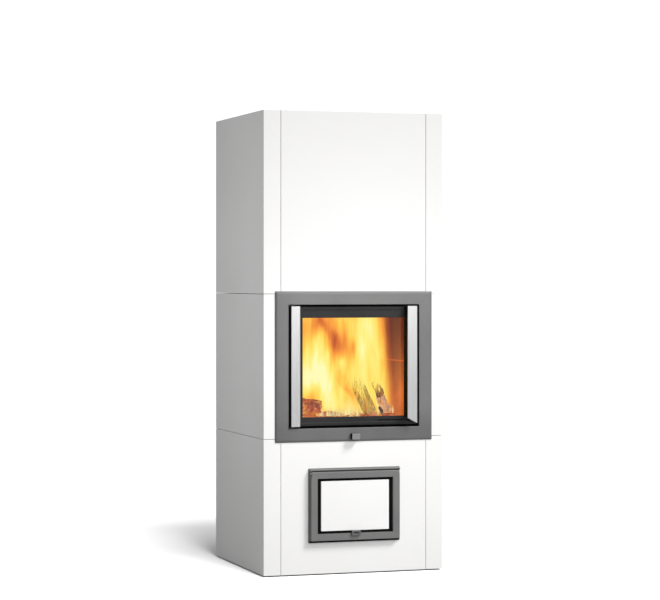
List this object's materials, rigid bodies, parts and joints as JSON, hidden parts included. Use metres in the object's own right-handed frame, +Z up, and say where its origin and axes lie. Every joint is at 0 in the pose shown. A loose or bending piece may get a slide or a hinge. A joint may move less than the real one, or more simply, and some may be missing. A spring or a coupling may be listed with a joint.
{
  "type": "tiled stove",
  "caption": "Tall heat-retaining stove clad in large white slabs, with a glazed fire door in a grey facing frame, an air control, and a flap door in front of an ash drawer.",
  "frame": {"origin": "centre of the clad body's footprint, on the floor", "axes": "+Z up, the front with the fire door faces -Y, +X to the right of someone looking at the front"},
  "size_m": [0.777, 0.76, 1.9],
  "materials": {
    "white_slab": "smooth satin white",
    "masonry": "cast refractory, rough",
    "firebrick": "fire-coloured chamotte",
    "grey_paint": "mid-grey satin stove paint",
    "black_paint": "black satin stove paint",
    "black_sheet": "dark painted sheet steel",
    "brushed_trim": "brushed stainless steel",
    "fitting_steel": "plain steel",
    "sheet_steel": "zinc-grey sheet steel",
    "door_glass": "clear glass ceramic",
    "cast_iron": "bare cast iron",
    "seal_rope": "braided glass-fibre rope"
  },
  "bodies": {
    "stove_body": {"base_slab": "masonry", "lower_side_slab_left": "white_slab", "lower_side_slab_right": "white_slab", "lower_back_slab": "white_slab", "lower_front_slab": "white_slab", "middle_side_slab_left": "white_slab", "middle_side_slab_right": "white_slab", "middle_back_slab": "white_slab", "middle_front_slab": "white_slab", "upper_side_slab_left": "white_slab", "upper_side_slab_right": "white_slab", "upper_back_slab": "white_slab", "upper_front_slab": "white_slab", "top_cover": "white_slab", "flue_collar": "black_sheet", "heat_store_ring_lower": "masonry", "heat_store_ring_upper": "masonry", "cross_block_lower": "masonry", "cross_block_upper": "masonry", "heat_store_cap": "masonry", "bearing_slab": "masonry", "firebox_floor": "firebrick", "grate": "cast_iron", "firebrick_left": "firebrick", "firebrick_right": "firebrick", "firebrick_back": "firebrick", "firebox_back_block": "masonry", "baffle_plate": "firebrick", "core_base_block": "masonry", "ash_liner": "black_sheet", "ash_chute": "black_sheet", "ash_door_casing": "grey_paint", "ash_door_pin_left": "fitting_steel", "ash_door_pin_right": "fitting_steel", "facing_frame": "grey_paint", "door_cassette": "black_paint", "hinge_bracket_upper": "black_paint", "hinge_bracket_lower": "black_paint", "hinge_pin_upper": "fitting_steel", "hinge_pin_lower": "fitting_steel", "catch_clip": "fitting_steel", "air_channel": "sheet_steel"},
    "fire_door": {"door_leaf": "black_paint", "door_glass": "door_glass", "glass_gasket": "seal_rope", "glass_retainer": "fitting_steel", "door_rope_seal": "seal_rope", "trim_strip": "brushed_trim", "hinge_bush_upper": "fitting_steel", "hinge_bush_lower": "fitting_steel", "door_handle": "brushed_trim", "catch_stud": "fitting_steel"},
    "air_control": {"air_control_tab": "fitting_steel", "air_shutter": "sheet_steel"},
    "ash_door": {"ash_door_leaf": "grey_paint", "ash_door_panel": "white_slab", "ash_door_back_plate": "black_paint", "ash_door_pull": "fitting_steel"},
    "ash_drawer_body": {"ash_drawer": "sheet_steel", "ash_drawer_handle": "fitting_steel"}
  },
  "joints": [
    {"name": "fire_door_hinge", "type": "hinge", "parent": "stove_body", "child": "fire_door", "pos_m": [-0.267, -0.368, 0.855], "axis": [0, 0, -1], "range_deg": [0, 100]},
    {"name": "air_control_slide", "type": "slide", "parent": "stove_body", "child": "air_control", "axis": [0, -1, 0], "range_m": [0, 0.036]},
    {"name": "ash_door_hinge", "type": "hinge", "parent": "stove_body", "child": "ash_door", "pos_m": [0, -0.3805, 0.417], "axis": [-1, 0, 0], "range_deg": [0, 95]},
    {"name": "ash_drawer_slide", "type": "slide", "parent": "stove_body", "child": "ash_drawer_body", "axis": [0, -1, 0], "range_m": [0, 0.235]}
  ],
  "couplings": [
    {"joint": "ash_drawer_slide", "follows": "ash_door_hinge", "m_per_rad": 0.14}
  ]
}
